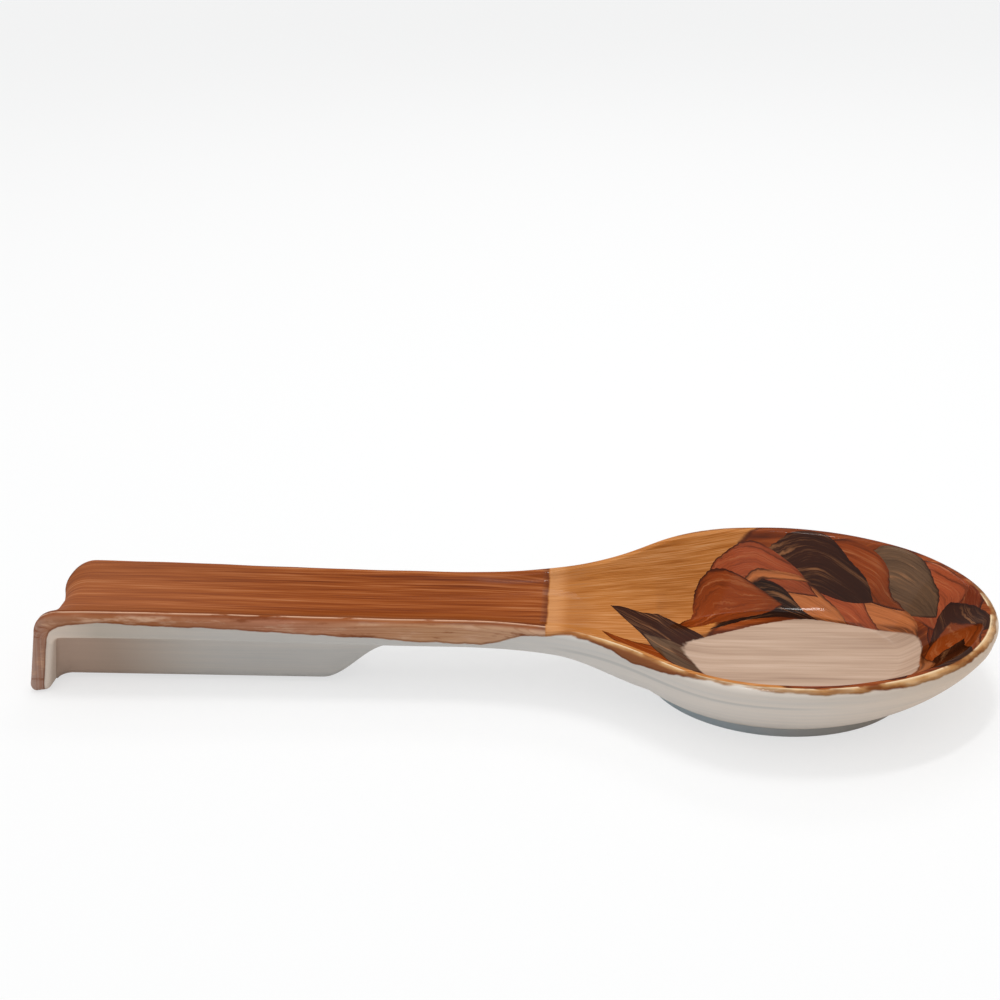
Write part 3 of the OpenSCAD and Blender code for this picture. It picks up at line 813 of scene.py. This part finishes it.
keel_rings = []
leg_face = turned(plate_t, leg_turn)[0]
for i in range(keel_bend_n, 0, -1):
    turn_share = i / keel_bend_n
    x, top = turned(plate_t, leg_turn * turn_share)
    slant = turn_share / math.tan(leg_turn)
    keel_rings.append(keel_ring(x, top, keel_top_w(end_x), 0, slant, fillet_out(x - leg_face)))
for s in np.linspace(0, 1, keel_run_n):
    x = mix(bend_x, keel_full_x, s)
    top_w = mix(keel_top_w(end_x), keel_top_w(x), float(smooth(s)))
    keel_rings.append(keel_ring(x, plate_z + lift(x), top_w, 0))
for s in np.linspace(0, 1, keel_rise_n)[1:]:
    x = mix(keel_full_x, nose_x, s)
    keel_rings.append(keel_ring(x, plate_z + lift(x), keel_top_w(x), keel_end_share * float(smooth(s))))
n = len(keel_rings[0])
keel = np.concatenate(keel_rings)
sides = [(r * n + i, (r + 1) * n + i, (r + 1) * n + i + 1, r * n + i + 1)
         for r in range(len(keel_rings) - 1) for i in range(n - 1)]
tops = [((r * n + n - 1, (r + 1) * n + n - 1, (r + 1) * n, r * n), (0, 0, 1))
        for r in range(len(keel_rings) - 1)]
ends = [(list(range(n)), (-1, 0, 0)), (list(range(len(keel) - n, len(keel)))[::-1], (1, 0, 0))]
keel_piece = solid_piece("glazed_keel", keel, sides, normals_of(keel, sides), tops + ends)
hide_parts("handle_keel")


def keel_paint(place):
    """White, with painted shade and a painted reflection of the brown leg: darker and browner towards the
    leg.
    """
    x, _, z = parts_of(place)
    colour, hair = white_glaze(x, z)
    # Painted shade and painted reflection of the leg.
    colour = blend((1.0 - step(x, -122.0, -84.0)) * 0.6, colour, "#a07c66")
    return colour, hair * 0.06, hair * 0.1 + 0.34


keel_piece.data.materials.append(glaze("white_glaze", keel_paint, 0.2, 0.2))


# The foot ring: a low oval ring of the same clay, with a rounded standing edge, luted up against the
# bowl's underside. It is greyer than the rest, bluish towards the handle and browner towards the tip.
def foot_paint(place):
    x, _, z = parts_of(place)
    colour, hair = white_glaze(x, z)
    cloud = noise(stretched(place, 0.06, 0.06, 0.2))
    grey = along_x(x, [(45, "#c0d4df"), (62, "#b3c2cb"), (80, "#a8aaaa"), (110, "#a39686")])
    return blend(cloud * 0.4 + 0.55, colour, grey), hair * 0.05, hair * 0.1 + 0.4


foot_sizes = {"Centre": bowl_x, "Half Length": foot_half_l, "Half Width": foot_half_w, "Band": 4.5,
              "Height": foot_h, "Edge Radius": foot_chamfer, "Belly Start": belly_start_x,
              "Belly Length": belly_ramp_l, "Belly Height": plate_z, "Sharp Angle": math.radians(40)}
foot_steps = {"Turn Steps": 192, "Edge Steps": 6}
foot_rule, given, asked = new_group(
    "foot_ring_rule",
    [(label, "Float") for label in foot_sizes] + [(label, "Int") for label in foot_steps]
    + [("Glaze", "Material")], [("Ring", "Geometry")], "GeometryNodeTree")
x, y, z = parts_of(Value(node(foot_rule, "GeometryNodeInputPosition").outputs["Position"]))

# The ring's cut face, which the sweep turns upside down: only its standing edge is rounded.
block = out("GeometryNodeCurvePrimitiveQuadrilateral", {"Width": given["Band"], "Height": given["Height"]})
cut_face = out("GeometryNodeFilletCurve", {
    "Curve": block, "Radius": maths("GREATER_THAN", y, 0.0) * given["Edge Radius"],
    "Count": given["Edge Steps"]}, mode="POLY")
path = out("GeometryNodeCurvePrimitiveCircle", {
    "Resolution": given["Turn Steps"], "Radius": given["Half Length"] - given["Band"] * 0.5})
ring = out("GeometryNodeCurveToMesh", {"Curve": path, "Profile Curve": cut_face})

# The round ring is drawn in to an oval, and its top is cut to fit the bowl's belly.
reach = out("ShaderNodeVectorMath", {0: joined(x, y)}, "Value", operation="LENGTH")
oval_y = y - y / reach * (given["Half Length"] - given["Half Width"])
body_x = x + given["Centre"]
full_share = step(body_x, given["Belly Start"], given["Belly Start"] + given["Belly Length"])
under_belly = mixed("FLOAT", full_share, given["Belly Height"], given["Height"])
ring_z = mixed("FLOAT", maths("GREATER_THAN", z, 0.0), z + given["Height"] * 0.5, under_belly)
ring = out("GeometryNodeSetPosition", {"Geometry": ring, "Position": joined(body_x, oval_y, ring_z)})
ring = out("GeometryNodeTransform", {"Geometry": ring, "Scale": (0.001, 0.001, 0.001)})

edge_angle = Value(node(foot_rule, "GeometryNodeInputMeshEdgeAngle").outputs["Unsigned Angle"])
ring = out("GeometryNodeSetShadeSmooth", {
    "Geometry": ring, "Selection": maths("GREATER_THAN", edge_angle, given["Sharp Angle"]),
    "Shade Smooth": False}, domain="EDGE")
ring = out("GeometryNodeRealizeInstances", {"Geometry": ring})
ring = out("GeometryNodeSetMaterial", {"Geometry": ring, "Material": given["Glaze"]})
foot_rule.links.new(ring.socket, asked["Ring"])

foot_piece = bpy.data.objects.new("glazed_foot_ring", bpy.data.meshes.new("glazed_foot_ring"))
scene.collection.objects.link(foot_piece)
foot_maker = foot_piece.modifiers.new("foot_ring", "NODES")
foot_maker.node_group = foot_rule
foot_values = {**foot_sizes, **foot_steps, "Glaze": glaze("grey_glaze", foot_paint, 0.2, 0.3)}
for item in foot_rule.interface.items_tree:
    if item.in_out == "INPUT":
        foot_maker[item.identifier] = foot_values[item.name]
foot_mesh = bpy.data.meshes.new_from_object(foot_piece.evaluated_get(bpy.context.evaluated_depsgraph_get()))
foot_piece.modifiers.clear()
foot_piece.data = foot_mesh
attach(foot_piece, "root")
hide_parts("foot_ring")


# Studio: a white floor that keeps the shadow, a white backdrop and soft overhead light. Camera,
# mirrors and glass see white; all other light comes from the lamps, the air and the plain floor.
def seen_white(tree, lit, share):
    path = tree.nodes.new("ShaderNodeLightPath").outputs
    rays = [Value(path[label]) for label in ("Is Camera Ray", "Is Glossy Ray", "Is Transmission Ray")]
    looked = maths("MAXIMUM", rays[0], maths("MAXIMUM", rays[1], rays[2]))
    glow = Value(node(tree, "ShaderNodeEmission", {"Color": (1, 1, 1, 1), "Strength": 1.0}).outputs[0])
    return out("ShaderNodeMixShader", {0: looked * share, 1: lit, 2: glow})


world = bpy.data.worlds.new("studio_air")
world.use_nodes = True
tree = world.node_tree
tree.nodes.clear()
air = Value(node(tree, "ShaderNodeBackground", {"Color": (0.93, 0.97, 1.0, 1), "Strength": 0.42}).outputs[0])
node(tree, "ShaderNodeOutputWorld", {"Surface": seen_white(tree, air, 1.0)})
scene.world = world
scene.view_settings.view_transform = "Standard"

floor_reach = 3.0
corners = [(floor_reach * a, floor_reach * b, 0) for a, b in ((-1, -1), (1, -1), (1, 1), (-1, 1))]
floor_mesh = bpy.data.meshes.new("studio_floor")
floor_mesh.from_pydata(corners, [], [(0, 1, 2, 3)])
studio_floor = bpy.data.objects.new("studio_floor", floor_mesh)
scene.collection.objects.link(studio_floor)
floor_material = bpy.data.materials.new("studio_floor")
floor_material.use_nodes = True
tree = floor_material.node_tree
shader = tree.nodes["Principled BSDF"]
shader.inputs["Base Color"].default_value = (0.92, 0.92, 0.92, 1)
shader.inputs["Roughness"].default_value = 0.8
# From below the floor lets the view through.
from_below = Value(tree.nodes.new("ShaderNodeNewGeometry").outputs["Backfacing"])
clear = Value(tree.nodes.new("ShaderNodeBsdfTransparent").outputs[0])
seen = seen_white(tree, Value(shader.outputs[0]), 0.65)
under = out("ShaderNodeMixShader", {0: from_below, 1: seen, 2: clear})
tree.links.new(under.socket, tree.nodes["Material Output"].inputs["Surface"])
floor_mesh.materials.append(floor_material)


def lamp(name, kind, place, energy, **settings):
    data = bpy.data.lights.new(name, kind)
    data.energy = energy
    for key, value in settings.items():
        setattr(data, key, value)
    made = bpy.data.objects.new(name, data)
    scene.collection.objects.link(made)
    made.location = place
    made.rotation_euler = (-Vector(place)).to_track_quat("-Z", "Y").to_euler()


lamp("soft_daylight", "SUN", (-0.25, -0.1, 1.0), 1.02, angle=math.radians(70), color=(1.0, 0.98, 0.95))
lamp("softbox", "AREA", (0.1, 0.75, 0.9), 1.6, shape="RECTANGLE", size=0.6, size_y=0.25,
     color=(1.0, 0.98, 0.96))
lamp("ceiling_strip", "AREA", (0.05, 0.05, 0.9), 2.2, shape="RECTANGLE", size=0.06, size_y=0.24)
